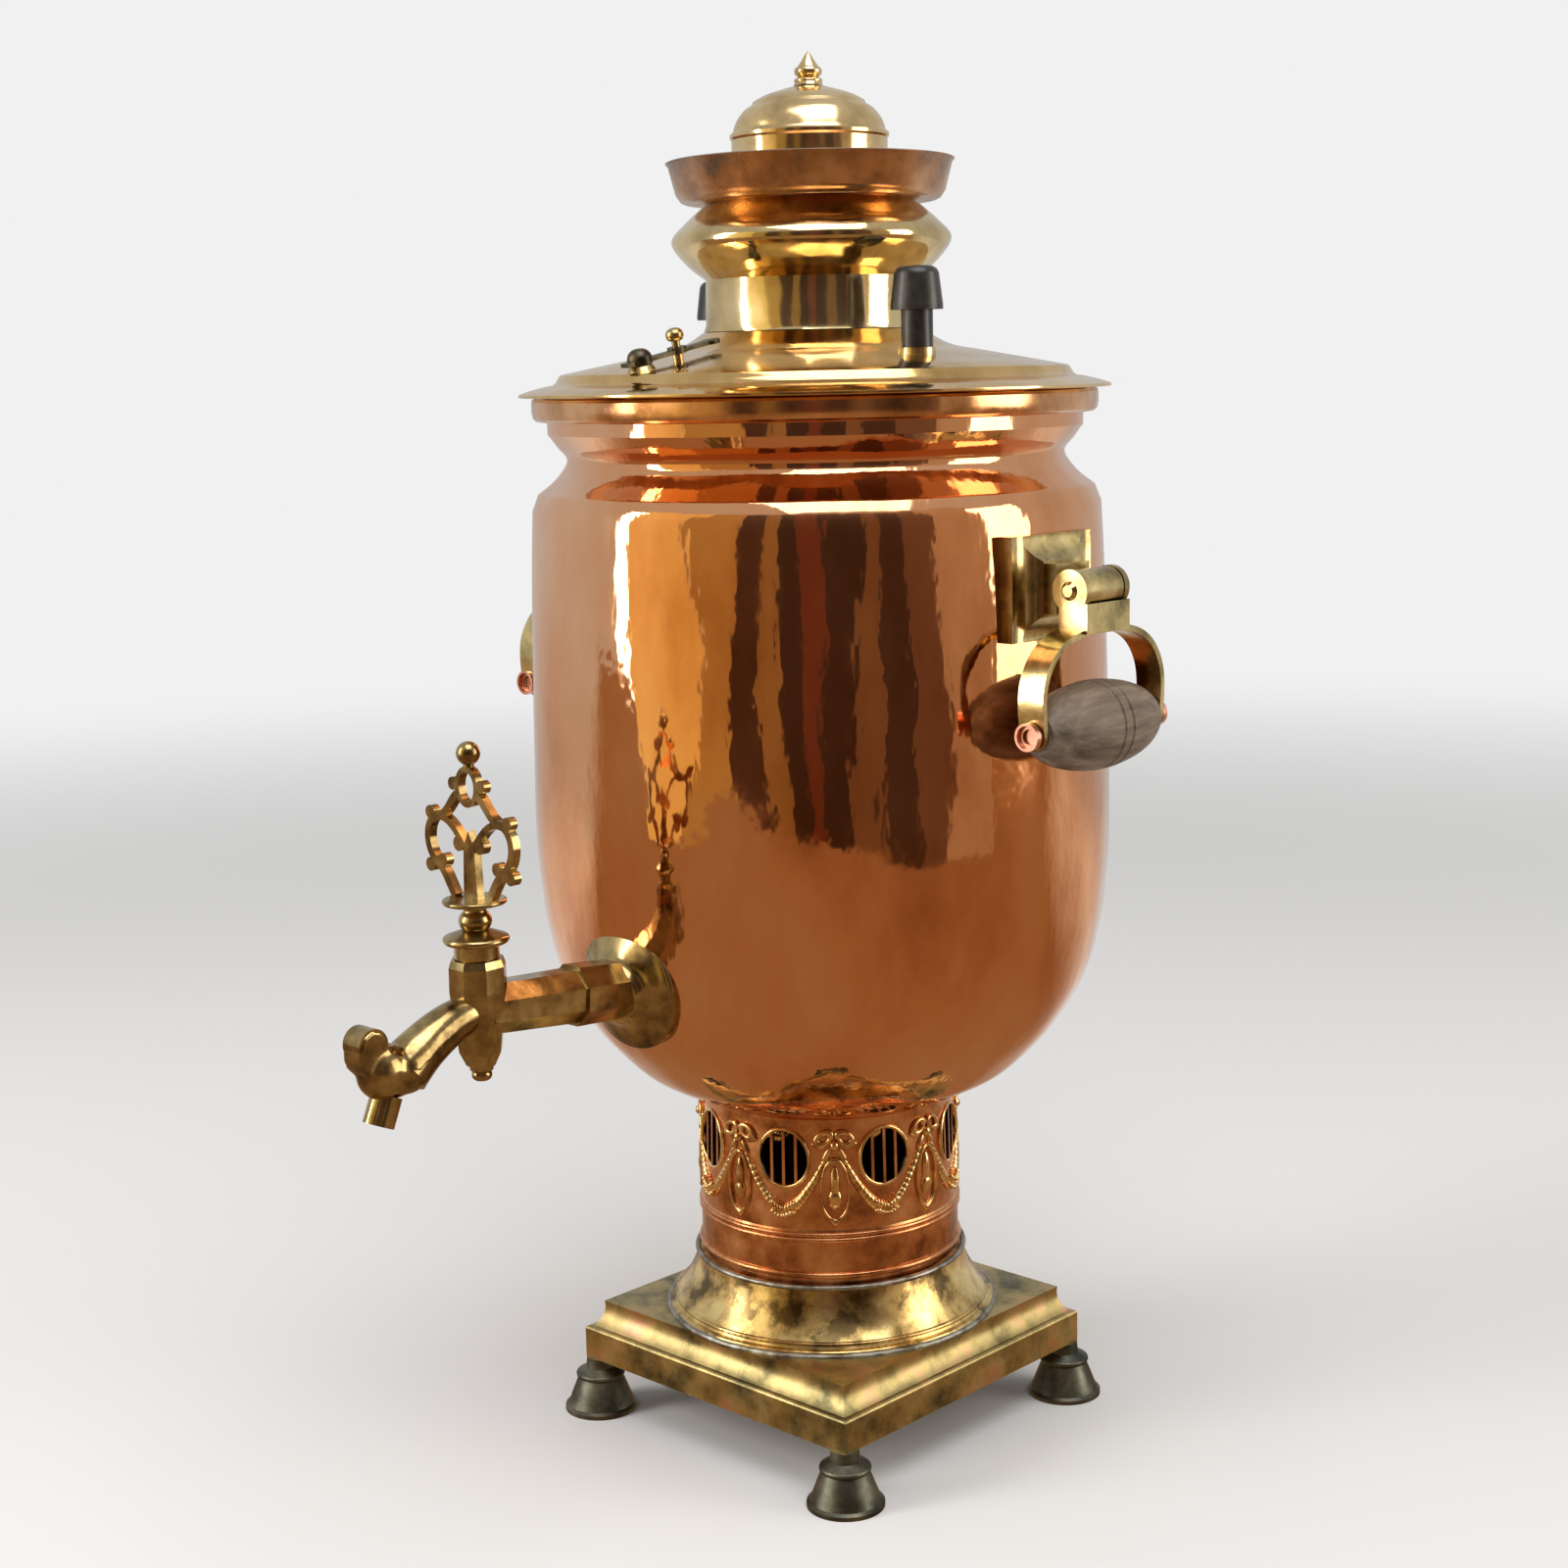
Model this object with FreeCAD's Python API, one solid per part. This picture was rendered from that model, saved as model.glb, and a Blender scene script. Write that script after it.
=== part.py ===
import FreeCAD, Part
import math
import os

# Samovar: a charcoal-fired copper water boiler with a brass tap.
# Millimetres, +Z up. The origin is on the table, on the axis of the round body.
# The tap points along -Y and the two handles are on +X and -X.

os.makedirs("parts", exist_ok=True)
vec = FreeCAD.Vector

# Sheet thicknesses
body_wall = 1.4
lid_wall = 1.2
plate_wall = 1.6
flue_wall = 1.3

# Air left between pieces that lift, swing or turn against each other
loose_gap = 0.3
running_gap = 0.05

# Feet and square base plate
foot_offset = 65.4
foot_radius = 14.3
foot_stem_radius = 5.6
foot_screw_radius = 2.0
plate_half = 69.2
plate_skirt_bottom = 21.2
plate_edge_top = 34.0
plate_ridge = 2.4
plate_cove_half = 63.6
plate_top = 44.0
plate_hole_radius = 46.0

# Flared moulding and pierced neck between the plate and the bowl
moulding_radius = 63.2
neck_radius = 50.0
neck_bottom = 66.4
neck_top = 131.5
neck_wall = 1.2
window_count = 8
window_half_width = 9.5
window_half_height = 10.8
window_height = 115.6
window_bar = 1.1

# Boiler body, as radius and height up the outside
bowl_points = [(49.5, neck_top), (58.5, 135.0), (68.6, 140.0), (74.7, 144.2), (82.7, 152.1),
               (90.7, 161.6), (98.2, 173.9), (102.6, 184.9), (105.3, 196.0), (107.2, 207.0),
               (109.1, 231.0), (108.9, 262.0), (108.2, 300.0), (107.2, 334.0), (106.1, 356.0)]
shoulder_points = [(103.8, 361.9), (97.2, 367.2), (92.6, 374.2), (96.0, 379.2), (99.5, 384.0)]
band_radius = 99.7
body_top = 396.4
rim_radius = 105.1
rim_bottom = 388.6
rim_top = 397.2
rim_lip = 399.9

# Fire tube through the middle of the water
hearth_radius = 40.0
flue_radius = 27.0
hearth_top = 190.0
flue_cone_top = 330.0
flue_top = 484.0
grate_height = 135.2
grate_thickness = 2.0
fire_tube_bottom = 129.4

# Lid
lid_radius = 109.8
lid_rim_height = 397.5
lid_step_radius = 99.1
lid_cone_radius = 94.0
lid_cone_height = 405.6
lid_neck_radius = 41.0
lid_neck_height = 419.7
lid_hole_radius = 28.0
lid_collar_radius = 97.5
lid_collar_depth = 11.0
lid_under = 400.4
knob_turn = -14.0
knob_circle = 66.0
knob_head_radius = 9.2
knob_stem_radius = 5.6
vent_circle = 88.0
post_circle = 70.0
cone_slope = math.degrees(math.atan2(8.0, 42.0))

# Crown that carries the teapot, and the chimney cap
crown_radius = 39.6
crown_bottom = 420.0
crown_bulge = [(39.3, 438.8), (46.6, 444.8), (51.6, 452.6), (46.5, 459.2), (38.4, 466.2)]
gallery_floor = 466.2
gallery_rim_radius = 53.2
gallery_rim_height = 481.3
gallery_sheet = 1.3
gallery_collar = 29.4
gallery_collar_rise = 0.8
crown_wall = 1.2
cap_radius = 28.6
cap_wall = 1.2
cap_points = [(28.6, 489.0), (27.6, 493.6), (25.0, 498.4), (19.8, 502.4), (13.0, 505.4), (5.6, 507.6)]
finial_top = 520.0

# Tap: the pipe climbs a little, the plug stands upright
tap_height = 190.2
tap_root = 102.0
tap_climb = 5.0
rosette_radius = 23.0
rosette_droop = 5.0
sleeve_radius = 10.4
sleeve_end = 29.5
pipe_radius = 8.8
tail_radius = 6.5
water_bore = 3.6
plug_distance = 172.0
housing_top = 214.0
housing_bottom = 177.2
plug_top_radius = 6.2
plug_bottom_radius = 4.2
key_thickness = 3.0
nozzle_radius = 5.35
nozzle_length = 10.2
nozzle_lean = 23.0
nozzle_top = (-212.0, 175.8)

# Handles
pin_distance = 127.0
pin_height = 330.0
pin_radius = 2.0
bracket_half_width = 22.3
bracket_half_height = 18.2
bracket_face = 110.4
bracket_block_half = 9.4
knuckle_radius = 7.0
lug_thickness = 2.6
strap_width = 10.5
strap_thickness = 2.2
strap_points = [(0.0, 317.4), (14.0, 316.6), (27.0, 311.2), (34.2, 300.5), (35.0, 289.5), (33.2, 276.0)]
grip_distance = 127.8
grip_height = 283.0
grip_radius = 15.6
grip_half_length = 31.0
rod_radius = 2.6


def save(name, shape):
    """Write one node and say how big it is."""
    shape = shape.removeSplitter()
    solids = shape.Solids
    shape = solids[0] if len(solids) == 1 else Part.makeCompound(solids)
    shape.exportStep("parts/" + name + ".step")
    print(name, "solids", len(solids), "volume", round(shape.Volume), "valid", shape.isValid())


def fuse(shapes):
    first = shapes[0]
    return first.fuse(shapes[1:]) if len(shapes) > 1 else first


def inset(points, distance):
    """Points moved sideways, to the left of the way they run."""
    moved = []
    last = len(points) - 1
    for i, (a, b) in enumerate(points):
        before = points[max(i - 1, 0)]
        after = points[min(i + 1, last)]
        run = math.hypot(after[0] - before[0], after[1] - before[1])
        moved.append((a - (after[1] - before[1]) / run * distance,
                      b + (after[0] - before[0]) / run * distance))
    return moved


def outline(start, steps, place):
    """A closed wire: a step is a point, ("arc", middle, end) or ("curve", points)."""
    edges = []
    here = start
    for step in steps:
        if step[0] == "arc":
            edges.append(Part.Arc(place(here), place(step[1]), place(step[2])).toShape())
            here = step[2]
        elif step[0] == "curve":
            curve = Part.BSplineCurve()
            curve.interpolate([place(here)] + [place(p) for p in step[1]])
            edges.append(curve.toShape())
            here = step[1][-1]
        elif math.hypot(here[0] - step[0], here[1] - step[1]) > 1e-6:
            edges.append(Part.makeLine(place(here), place(step)))
            here = step
    if math.hypot(here[0] - start[0], here[1] - start[1]) > 1e-6:
        edges.append(Part.makeLine(place(here), place(start)))
    return Part.Wire(edges)


def turned(start, steps):
    """Solid of revolution about +Z from radius and height."""
    wire = outline(start, steps, lambda p: vec(p[0], 0, p[1]))
    return Part.Face(wire).revolve(vec(0, 0, 0), vec(0, 0, 1), 360)


def plate_yz(start, steps, x_low, x_high):
    """Flat shape drawn in Y and Z, from x_low to x_high."""
    wire = outline(start, steps, lambda p: vec(x_low, p[0], p[1]))
    return Part.Face(wire).extrude(vec(x_high - x_low, 0, 0))


def plate_xz(start, steps, y_low, y_high):
    """Flat shape drawn in X and Z, from y_low to y_high."""
    wire = outline(start, steps, lambda p: vec(p[0], y_low, p[1]))
    return Part.Face(wire).extrude(vec(0, y_high - y_low, 0))


def cylinder(radius, start, end):
    run = end.sub(start)
    return Part.makeCylinder(radius, run.Length, start, run)


def box(low, high):
    return Part.makeBox(high[0] - low[0], high[1] - low[1], high[2] - low[2], vec(*low))


def band(points, width, y_low, y_high):
    """A strip of even width along a smooth line drawn in X and Z."""
    left = inset(points, width / 2)
    right = inset(points, -width / 2)
    right.reverse()
    return plate_xz(left[0], [("curve", left[1:]), right[0], ("curve", right[1:])], y_low, y_high)


def turn_about_z(shape, degrees):
    copy = shape.copy()
    copy.rotate(vec(0, 0, 0), vec(0, 0, 1), degrees)
    return copy


def body_outside():
    """The boiler as if it were solid, to trim what sits against it."""
    steps = [bowl_points[0], ("curve", bowl_points[1:]), ("curve", shoulder_points)]
    steps += [(band_radius, body_top), (0, body_top)]
    return turned((0, bowl_points[0][1]), steps)


def feet():
    steps = [(foot_radius, 0), (foot_radius, 1.6), (foot_radius - 1.3, 2.4),
             ("curve", [(11.2, 7.2), (8.8, 13.2)]), ("arc", (9.6, 14.4), (8.6, 15.6)),
             (foot_stem_radius, 17.2), (foot_stem_radius - 0.4, plate_skirt_bottom),
             (foot_screw_radius, plate_skirt_bottom), (foot_screw_radius, 31.4), (0, 31.4)]
    foot = turned((0, 0), steps)
    places = {"foot_front": (1, -1), "foot_right": (1, 1), "foot_back": (-1, 1), "foot_left": (-1, -1)}
    for name, (x_side, y_side) in places.items():
        one = foot.copy()
        one.translate(vec(x_side * foot_offset, y_side * foot_offset, 0))
        save(name, one)


def coved_square(half, top, wall):
    """Square tray with a coved upper edge, as the overlap of two mitred extrusions."""
    edge = plate_edge_top - wall
    cove = plate_cove_half - wall
    right = [(half, edge - 1.2), ("arc", (half - 0.4, edge - 0.4), (half - 1.2, edge)),
             (half - plate_ridge, edge), ("arc", (cove + 0.9, edge + 3.2), (cove, top))]
    left = [(-cove, top), ("arc", (-cove - 0.9, edge + 3.2), (-half + plate_ridge, edge)),
            (-half + 1.2, edge), ("arc", (-half + 0.4, edge - 0.4), (-half, edge - 1.2))]
    low = plate_skirt_bottom if wall == 0 else plate_skirt_bottom - 1
    along = plate_xz((-half, low), [(half, low)] + right + left, -half, half)
    return along.common(turn_about_z(along, 90))


def base_plate():
    tray = coved_square(plate_half, plate_top, 0)
    tray = tray.cut(coved_square(plate_half - plate_wall, plate_top - plate_wall, plate_wall))
    tray = tray.cut(cylinder(plate_hole_radius, vec(0, 0, 20), vec(0, 0, 60)))
    save("base_plate", tray)


def base_moulding():
    low = plate_top
    inner = 58.4
    flare = [(56.0, 55.2), (53.0, 62.0), (52.0, neck_bottom)]
    steps = [(moulding_radius, low), ("arc", (moulding_radius + 0.7, low + 1.1), (moulding_radius, low + 2.2)),
             (62.0, low + 2.4), (61.5, low + 3.2), ("arc", (61.6, low + 4.0), (60.5, low + 4.7)),
             ("curve", flare), (neck_radius - neck_wall, neck_bottom),
             ("curve", [(51.5, 61.6), (54.7, 54.6), (inner, low + 4.6)])]
    save("base_moulding", turned((inner, low), steps))


def neck_tube():
    r = neck_radius
    steps = [(r, neck_bottom), (r + 0.3, 69.6), ("arc", (r + 1.5, 70.8), (r + 0.3, 72.0)), (r + 0.3, 83.6),
             ("arc", (r + 1.2, 84.6), (r + 0.3, 85.6)), ("arc", (r + 1.2, 86.6), (r + 0.3, 87.6)),
             (r, 88.4), (r - 0.9, neck_top - 0.6), (r - 1.3, neck_top), (r - 1.3 - neck_wall, neck_top)]
    return turned((r - neck_wall, neck_bottom), steps)


def window_cutter():
    """One barred oval, cut from the +X side."""
    oval = Part.Ellipse(vec(0, 0, 0), window_half_height, window_half_width).toShape()
    face = Part.Face(Part.Wire([oval]))
    face.rotate(vec(0, 0, 0), vec(0, 1, 0), 90)
    hole = face.extrude(vec(20, 0, 0))
    hole.translate(vec(neck_radius - 10, 0, window_height))
    spacing = 2 * window_half_width / 4
    for k in (-1, 0, 1):
        middle = k * spacing
        bar = box((neck_radius - 11, middle - window_bar / 2, window_height - 20),
                  (neck_radius + 11, middle + window_bar / 2, window_height + 20))
        hole = hole.cut(bar)
    return hole


def vent_neck():
    neck = neck_tube()
    cutter = window_cutter()
    for k in range(window_count):
        neck = neck.cut(turn_about_z(cutter, 22.5 + 360.0 / window_count * k))
    save("vent_neck", neck)


def body_inside():
    """The space that holds the water, as if the fire tube weren't there."""
    lower = inset(bowl_points, body_wall)
    upper = inset(shoulder_points, body_wall)
    steps = [lower[0], ("curve", lower[1:]), ("curve", upper)]
    steps += [(band_radius - body_wall, body_top + 1), (0, body_top + 1)]
    return turned((0, lower[0][1]), steps)


def body_shell():
    shell = body_outside().cut(body_inside())
    shell = shell.cut(cylinder(hearth_radius, vec(0, 0, neck_top - 10), vec(0, 0, neck_top + 15)))
    shell = shell.cut(cylinder(tail_radius, tap_point(-12), tap_point(12)))
    save("body_shell", shell)


def body_rim():
    low = rim_bottom
    inner = band_radius - body_wall
    steps = [(102.0, low), ("arc", (104.6, low + 1.2), (rim_radius, low + 3.6)),
             (rim_radius, rim_top - 1.6), ("arc", (rim_radius - 0.5, rim_top - 0.5), (rim_radius - 1.6, rim_top)),
             (101.4, rim_top), (100.6, rim_lip - 0.5), (inner, rim_lip), (inner, body_top),
             (band_radius, body_top)]
    save("body_rim", turned((band_radius, low), steps))


def fire_tube():
    low = fire_tube_bottom
    steps = [(hearth_radius, low), (hearth_radius, hearth_top), (flue_radius, flue_cone_top),
             (flue_radius, flue_top), (flue_radius - flue_wall, flue_top),
             (flue_radius - flue_wall, flue_cone_top), (hearth_radius - flue_wall, hearth_top),
             (hearth_radius - flue_wall, low)]
    save("fire_tube", turned((hearth_radius, low), steps))


def fire_grate():
    disc = cylinder(hearth_radius - flue_wall, vec(0, 0, grate_height),
                    vec(0, 0, grate_height + grate_thickness))
    for count, circle in ((1, 0.0), (6, 13.0), (12, 26.0)):
        for k in range(count):
            angle = math.radians(360.0 / count * k)
            at = vec(circle * math.cos(angle), circle * math.sin(angle), grate_height - 1)
            disc = disc.cut(cylinder(3.6, at, at.add(vec(0, 0, grate_thickness + 2))))
    save("fire_grate", disc)


def tap_point(distance):
    """Point on the tap pipe's axis, measured outwards from the body."""
    climb = math.radians(tap_climb)
    return vec(0, -tap_root - distance * math.cos(climb), tap_height + distance * math.sin(climb))


def tap_turned(start, steps, climb):
    """Solid of revolution about the tap's axis from radius and distance."""
    shape = turned(start, steps)
    shape.rotate(vec(0, 0, 0), vec(1, 0, 0), 90 - climb)
    shape.translate(vec(0, -tap_root, tap_height))
    return shape


def tap_prism(radius_low, radius_high, start, end):
    """Eight-sided bar along the tap's axis, with flats above and below."""
    wires = []
    for radius, along in ((radius_low, start), (radius_high, end)):
        corner = radius / math.cos(math.pi / 8)
        ring = []
        for k in range(9):
            angle = math.pi / 8 + math.pi / 4 * k
            ring.append(vec(corner * math.cos(angle), corner * math.sin(angle), along))
        wires.append(Part.makePolygon(ring))
    shape = Part.makeLoft(wires, True, True)
    shape.rotate(vec(0, 0, 0), vec(1, 0, 0), 90 - tap_climb)
    shape.translate(vec(0, -tap_root, tap_height))
    return shape


def tap_rosette():
    r = rosette_radius
    steps = [(r, -14), (r, 1.0), ("arc", (r - 0.3, 2.0), (r - 1.4, 2.6)),
             ("curve", [(17.0, 4.6), (13.2, 6.6), (11.2, 9.6)]), (0, 9.6)]
    disc = tap_turned((0, -14), steps, -rosette_droop)
    disc = disc.cut(body_outside())
    disc = disc.cut(tap_prism(9.6, sleeve_radius, -16, sleeve_end))
    save("tap_rosette", disc.Solids[0])


def tap_sleeve():
    sleeve = tap_prism(9.6, sleeve_radius, -16, sleeve_end).cut(body_outside())
    sleeve = sleeve.cut(cylinder(tail_radius, tap_point(-18), tap_point(12)))
    sleeve = sleeve.cut(cylinder(water_bore, tap_point(-18), tap_point(40)))
    save("tap_sleeve", sleeve)


def tap_tail():
    tail = cylinder(tail_radius, tap_point(-10), tap_point(12))
    save("tap_tail", tail.cut(cylinder(water_bore, tap_point(-12), tap_point(14))))


def tap_backnut():
    """Six-sided nut inside the boiler, on the tap's threaded tail."""
    ring = []
    for k in range(7):
        angle = math.pi / 3 * k
        ring.append(vec(10.5 * math.cos(angle), 10.5 * math.sin(angle), -8.0))
    nut = Part.Face(Part.makePolygon(ring)).extrude(vec(0, 0, 12.0))
    nut.rotate(vec(0, 0, 0), vec(1, 0, 0), 90 - tap_climb)
    nut.translate(vec(0, -tap_root, tap_height))
    nut = nut.common(body_inside())
    save("tap_backnut", nut.cut(cylinder(tail_radius, tap_point(-14), tap_point(6))))


def housing_outside():
    """Eight-sided valve housing with a rounded lower end."""
    wires = []
    for radius, height in ((4.8, housing_bottom), (7.0, 182.0), (9.3, 203.0), (9.2, 211.5), (8.4, housing_top)):
        corner = radius / math.cos(math.pi / 8)
        ring = []
        for k in range(9):
            angle = math.pi / 8 + math.pi / 4 * k
            ring.append(vec(corner * math.cos(angle), corner * math.sin(angle) - plug_distance, height))
        wires.append(Part.makePolygon(ring))
    return Part.makeLoft(wires, True, True)


def spout_route():
    """Middle of the water way from the plug to the nozzle, as Y and Z."""
    return [(-172.0, 196.4), (-184.5, 194.0), (-196.0, 188.4), (-205.0, 182.0), nozzle_top]


def spout_outside():
    route = spout_route()
    radii = (6.3, 7.0, 8.0, 9.0)
    rings = []
    for k, radius in enumerate(radii):
        before = route[max(k - 1, 0)]
        after = route[k + 1]
        normal = vec(0, after[0] - before[0], after[1] - before[1])
        centre = vec(0, route[k][0], route[k][1])
        rings.append(Part.Wire([Part.makeCircle(radius, centre, normal)]))
    horn = Part.makeLoft(rings, True, False)
    beak = Part.makeSphere(1.0)
    stretch = FreeCAD.Matrix()
    stretch.scale(7.6, 9.6, 9.2)
    beak = beak.transformGeometry(stretch)
    beak.translate(vec(0, -212.6, 184.0))
    curl = cylinder(5.8, vec(-4.4, -219.4, 194.4), vec(4.4, -219.4, 194.4))
    return [horn, beak, curl]


def nozzle_point(distance):
    lean = math.radians(nozzle_lean)
    return vec(0, nozzle_top[0] - distance * math.sin(lean), nozzle_top[1] - distance * math.cos(lean))


def water_way():
    route = spout_route()
    pieces = []
    for a, b in zip(route, route[1:]):
        pieces.append(cylinder(water_bore, vec(0, a[0], a[1]), vec(0, b[0], b[1])))
        pieces.append(Part.makeSphere(water_bore, vec(0, b[0], b[1])))
    pieces.append(cylinder(water_bore, nozzle_point(0), nozzle_point(20)))
    return fuse(pieces)


def plug_hole(gap):
    """The tapered seat, larger than the plug by the gap."""
    low = housing_bottom - 1
    height = housing_top + 1 - low
    cone = Part.makeCone(plug_bottom_radius + gap, plug_top_radius + gap, height, vec(0, -plug_distance, low))
    return cone


def tap_body():
    body = fuse([housing_outside()] + spout_outside())
    body = body.cut(water_way())
    body = body.cut(plug_hole(running_gap))
    body = body.cut(cylinder(water_bore, tap_point(60), tap_point(plug_distance - tap_root)))
    save("tap_body", body)


def tap_pipe():
    pipe = tap_prism(pipe_radius + 0.4, pipe_radius - 0.3, sleeve_end, plug_distance - tap_root)
    pipe = pipe.cut(housing_outside())
    pipe = pipe.cut(cylinder(water_bore, tap_point(20), tap_point(75)))
    pieces = sorted(pipe.Solids, key=lambda s: -s.Volume)
    save("tap_pipe", pieces[0])


def tap_nozzle():
    tube = cylinder(nozzle_radius, nozzle_point(0), nozzle_point(nozzle_length))
    tube = tube.cut(fuse(spout_outside()))
    tube = tube.cut(cylinder(water_bore, nozzle_point(-2), nozzle_point(nozzle_length + 2)))
    pieces = sorted(tube.Solids, key=lambda s: -s.Volume)
    save("tap_nozzle", pieces[0])


def on_plug_axis(shape):
    shape.translate(vec(0, -plug_distance, 0))
    return shape


def tap_plug():
    low = housing_bottom - 1
    full = housing_top + 1 - low
    top = housing_top + loose_gap
    slope = (plug_top_radius - plug_bottom_radius) / full
    steps = [(plug_bottom_radius, low), (plug_bottom_radius + slope * (top - low), top), (7.6, top),
             (7.6, 219.0), (10.0, 219.2), ("arc", (11.2, 220.4), (10.4, 221.8)), (4.4, 224.0), (0, 224.0)]
    plug = on_plug_axis(turned((0, low), steps))
    port = cylinder(water_bore - 0.4, vec(-20, -plug_distance, 196.4), vec(20, -plug_distance, 196.4))
    tail_hole = cylinder(2.0, vec(0, -plug_distance, low - 1), vec(0, -plug_distance, low + 8))
    save("tap_plug", plug.cut(port).cut(tail_hole))


def tap_end_screw():
    low = housing_bottom - 1
    steps = [(2.4, 171.8), ("arc", (3.5, 173.4), (2.8, 175.2)), (4.0, 175.4), (4.0, low), (2.0, low),
             (2.0, low + 8), (0, low + 8)]
    save("tap_end_screw", on_plug_axis(turned((0, 171.8), steps)))


def tap_stem():
    """Turned baluster between the plug and the pierced key."""
    steps = [(4.4, 224.0), ("arc", (5.6, 226.9), (4.2, 229.8)), ("arc", (3.9, 230.8), (4.4, 231.6)),
             (9.6, 232.8), ("arc", (10.9, 233.5), (9.8, 234.4)), (0, 234.4)]
    save("tap_stem", on_plug_axis(turned((0, 224.0), steps)))


def tap_key():
    """Pierced key: two scrolled sides, a ring and a ball."""
    half = key_thickness / 2
    low = -half
    strokes = [([(8.6, 234.4), (11.8, 239.2), (15.6, 244.0), (18.6, 246.0)], 2.8),
               ([(16.0, 244.4), (20.4, 248.6), (21.6, 254.0), (17.4, 260.8)], 2.8),
               ([(18.4, 261.4), (12.6, 262.4), (9.0, 266.0), (4.6, 270.0)], 2.6),
               ([(17.6, 260.4), (11.6, 260.2), (7.2, 257.2), (2.6, 252.0)], 2.4)]
    lobes = [(19.8, 261.8, 2.3), (13.9, 246.0, 2.3), (20.6, 243.8, 2.4), (7.2, 272.8, 2.2), (5.4, 252.6, 2.6)]
    pieces = []
    for side in (-1, 1):
        for points, width in strokes:
            pieces.append(band([(side * a, b) for a, b in points], width, low, half))
        for a, b, radius in lobes:
            pieces.append(cylinder(radius, vec(side * a, low, b), vec(side * a, half, b)))
    stem = plate_xz((-3.6, 234.4), [(3.6, 234.4), (2.7, 252.0), (0, 257.4), (-2.7, 252.0)], low, half)
    outer = Part.Face(Part.Wire([Part.Ellipse(vec(0, 0, 0), 6.9, 5.7).toShape()]))
    inner = Part.Face(Part.Wire([Part.Ellipse(vec(0, 0, 0), 5.0, 3.8).toShape()]))
    ring = outer.cut(inner).Faces[0]
    ring.rotate(vec(0, 0, 0), vec(0, 1, 0), 90)
    ring.rotate(vec(0, 0, 0), vec(0, 0, 1), 90)
    ring.translate(vec(0, low, 272.2))
    ring = ring.extrude(vec(0, key_thickness, 0))
    neck = cylinder(1.8, vec(0, 0, 278.4), vec(0, 0, 281.0))
    ball = Part.makeSphere(4.05, vec(0, 0, 283.4))
    key = fuse(pieces + [stem, ring, neck, ball])
    key = key.cut(box((-30, -5, 220), (30, 5, 234.4)))
    save("tap_key", on_plug_axis(key))


def handle_bracket():
    """Coved plate with a block and the middle knuckle of the hinge."""
    face = bracket_face
    block = bracket_block_half
    wide = []
    for half, inner in ((bracket_half_width, block + 1.2), (bracket_half_height, 9.4)):
        rise = face + 4.4
        back = 96.0
        points = [(half, back), (half, face), ("arc", (inner + 3.6, face + 0.9), (inner, rise)),
                  (-inner, rise), ("arc", (-inner - 3.6, face + 0.9), (-half, face)), (-half, back)]
        wide.append(points)
    level = outline(wide[0][-1], wide[0][:-1], lambda p: vec(p[1], p[0], pin_height - bracket_half_height))
    upright = outline(wide[1][-1], wide[1][:-1], lambda p: vec(p[1], -bracket_half_width, pin_height + p[0]))
    flange = Part.Face(level).extrude(vec(0, 0, 2 * bracket_half_height))
    flange = flange.common(Part.Face(upright).extrude(vec(0, 2 * bracket_half_width, 0)))
    flange = flange.cut(body_outside())
    stub = box((face, -block, pin_height - 8.6), (119.4, block, pin_height + 8.6))
    neck = box((119.0, -block, pin_height - 4.6), (pin_distance, block, pin_height + 4.6))
    knuckle = cylinder(knuckle_radius, vec(pin_distance, -block, pin_height),
                       vec(pin_distance, block, pin_height))
    bracket = fuse([flange, stub, neck, knuckle])
    hole = cylinder(pin_radius + running_gap, vec(pin_distance, -20, pin_height),
                    vec(pin_distance, 20, pin_height))
    return bracket.cut(hole)


def handle_bail():
    """Flat strap bent to a stirrup, with the two hinge lugs at its head."""
    mirrored = [(-a, b) for a, b in reversed(strap_points[1:])]
    outer = mirrored + strap_points
    inner = inset(outer, -strap_thickness)
    inner.reverse()
    x_low = grip_distance - strap_width / 2
    x_high = x_low + strap_width
    strap = plate_yz(outer[0], [("curve", outer[1:]), inner[0], ("curve", inner[1:])], x_low, x_high)
    ends = cylinder(strap_width / 2, vec(grip_distance, -60, grip_height), vec(grip_distance, 60, grip_height))
    keep = fuse([ends, box((x_low, -60, grip_height), (x_high, 60, 330))])
    strap = strap.common(keep)
    inside = bracket_block_half + loose_gap
    outside = inside + lug_thickness
    front = pin_distance + knuckle_radius + 0.3
    head = box((x_low, -outside, 315.6), (front, outside, pin_height - 4.2))
    lug = cylinder(knuckle_radius + 0.3, vec(pin_distance, -outside, pin_height),
                   vec(pin_distance, outside, pin_height))
    head = fuse([head, lug])
    slot = cylinder(knuckle_radius + 0.6, vec(pin_distance, -inside, pin_height),
                    vec(pin_distance, inside, pin_height))
    head = head.cut(slot)
    bail = fuse([strap, head])
    for low, high in ((-outside - 1, -inside + 0.5), (inside - 0.5, outside + 1)):
        bail = bail.cut(cylinder(pin_radius, vec(pin_distance, low, pin_height),
                                 vec(pin_distance, high, pin_height)))
    bail = bail.cut(cylinder(rod_radius, vec(grip_distance, -60, grip_height),
                             vec(grip_distance, 60, grip_height)))
    return bail


def hinge_pin():
    outside = bracket_block_half + loose_gap + lug_thickness
    pin = cylinder(pin_radius, vec(pin_distance, -outside, pin_height), vec(pin_distance, outside, pin_height))
    heads = []
    for side in (-1, 1):
        start = vec(pin_distance, side * outside, pin_height)
        run = vec(0, side, 0)
        heads.append(Part.makeCone(3.3, 2.0, 1.3, start, run))
    return fuse([pin] + heads)


def grip_rod():
    reach = 34.9
    return cylinder(rod_radius, vec(grip_distance, -reach, grip_height), vec(grip_distance, reach, grip_height))


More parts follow.
